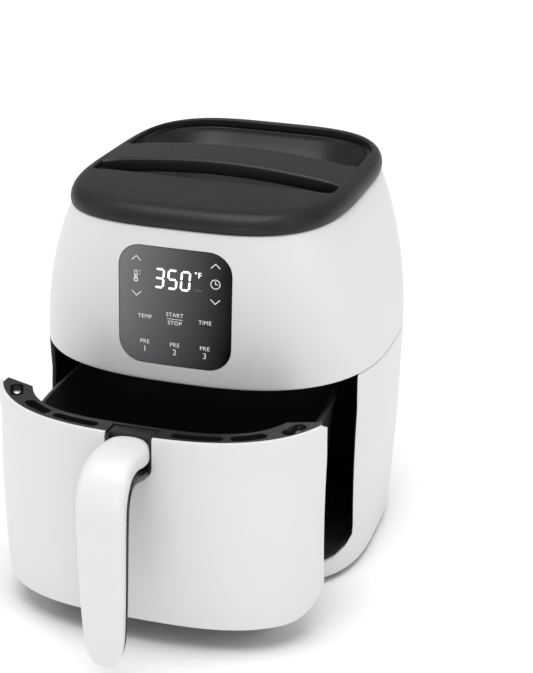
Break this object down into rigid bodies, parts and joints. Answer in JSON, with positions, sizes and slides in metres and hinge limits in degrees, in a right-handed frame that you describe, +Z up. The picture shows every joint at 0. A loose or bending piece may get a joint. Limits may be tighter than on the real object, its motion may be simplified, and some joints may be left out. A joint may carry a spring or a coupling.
{
  "type": "air fryer",
  "caption": "Compact digital air fryer: white rounded housing, charcoal lid with carry bar, black touch panel, and a slide-out drawer with a drop handle and a basket.",
  "frame": {"origin": "on the supporting surface, under the middle of the whole object's box with the drawer pulled out at its rest pose", "axes": "+Z up, -Y towards the front where the drawer and handle are, +X towards the right side as seen by a user who faces the front"},
  "size_m": [0.229, 0.3633, 0.2629],
  "materials": {
    "white_shell": "satin white moulded ABS",
    "charcoal_lid": "fine matt charcoal ABS",
    "bowl_plastic": "matt dark moulded plastic",
    "black_plastic": "moulded black polypropylene",
    "bay_black": "glossy black moulded PBT",
    "trim_black": "satin black moulded nylon",
    "panel_lens": "glossy black acrylic with printed back",
    "display_black": "moulded display block",
    "circuit_board": "glass-epoxy board with green mask",
    "component_blue": "moulded component cases",
    "spring_brass": "plated contact brass and sintered bronze",
    "screw_steel": "zinc plated steel",
    "aluminised_steel": "pressed aluminised steel",
    "heater_alloy": "oxidised nickel alloy sheath",
    "phenolic": "brown phenolic",
    "lamination_steel": "stacked silicon steel",
    "copper_winding": "enamelled copper wire",
    "fan_aluminium": "pressed aluminium",
    "fan_plastic": "heat resistant white plastic",
    "foot_rubber": "moulded black rubber",
    "lead_jacket": "black flexible jacket",
    "plunger_red": "red moulded plastic",
    "nonstick_steel": "steel with a black non-stick coat",
    "bumper_silicone": "grey silicone"
  },
  "bodies": {
    "housing": {"upper_housing": "white_shell", "lower_housing": "white_shell", "base_plate": "black_plastic", "rubber_feet": "foot_rubber", "base_screws": "screw_steel", "top_cover": "charcoal_lid", "intake_bowl": "bowl_plastic", "top_cover_screws": "screw_steel", "touch_panel_lens": "panel_lens", "display_module": "display_black", "control_board": "circuit_board", "board_screws": "screw_steel", "touch_springs": "spring_brass", "bay_liner": "bay_black", "bay_ceiling": "bay_black", "heater_chamber": "aluminised_steel", "chamber_screws": "screw_steel", "heating_element": "heater_alloy", "heater_clips": "aluminised_steel", "temperature_sensor": "screw_steel", "thermal_cutout": "phenolic", "motor_bracket": "aluminised_steel", "motor_stator": "lamination_steel", "motor_coils": "copper_winding", "motor_bushes": "spring_brass", "power_board": "circuit_board", "power_components": "component_blue", "exhaust_duct": "aluminised_steel", "exhaust_grille": "bowl_plastic", "mains_lead": "lead_jacket", "cord_bushing": "foot_rubber", "door_switch": "black_plastic"},
    "fan": {"motor_shaft": "screw_steel", "motor_rotor": "lamination_steel", "convection_fan": "fan_aluminium", "cooling_fan": "fan_plastic", "fan_nut": "screw_steel"},
    "switch": {"switch_plunger": "plunger_red"},
    "drawer": {"drawer_front": "white_shell", "drawer_trim": "trim_black", "drawer_carrier": "black_plastic", "handle_bracket": "trim_black", "handle_shell": "white_shell", "handle_liner": "trim_black", "handle_screws": "screw_steel", "trim_screws": "screw_steel", "basket": "nonstick_steel", "basket_screws": "screw_steel"},
    "tray": {"crisper_tray": "nonstick_steel", "tray_bumpers": "bumper_silicone"}
  },
  "joints": [
    {"name": "drawer_slide", "type": "slide", "parent": "housing", "child": "drawer", "axis": [0, -1, 0], "range_m": [-0.08, 0.13]},
    {"name": "tray_lift", "type": "slide", "parent": "drawer", "child": "tray", "axis": [0, 0, 1], "range_m": [0, 0.09]},
    {"name": "fan_spin", "type": "hinge", "parent": "housing", "child": "fan", "pos_m": [0, 0.059, 0.175], "axis": [0, 0, 1], "continuous": true},
    {"name": "door_switch_press", "type": "slide", "parent": "housing", "child": "switch", "axis": [0, 1, 0], "range_m": [0, 0.0025], "stiffness_N_per_m": 250}
  ]
}
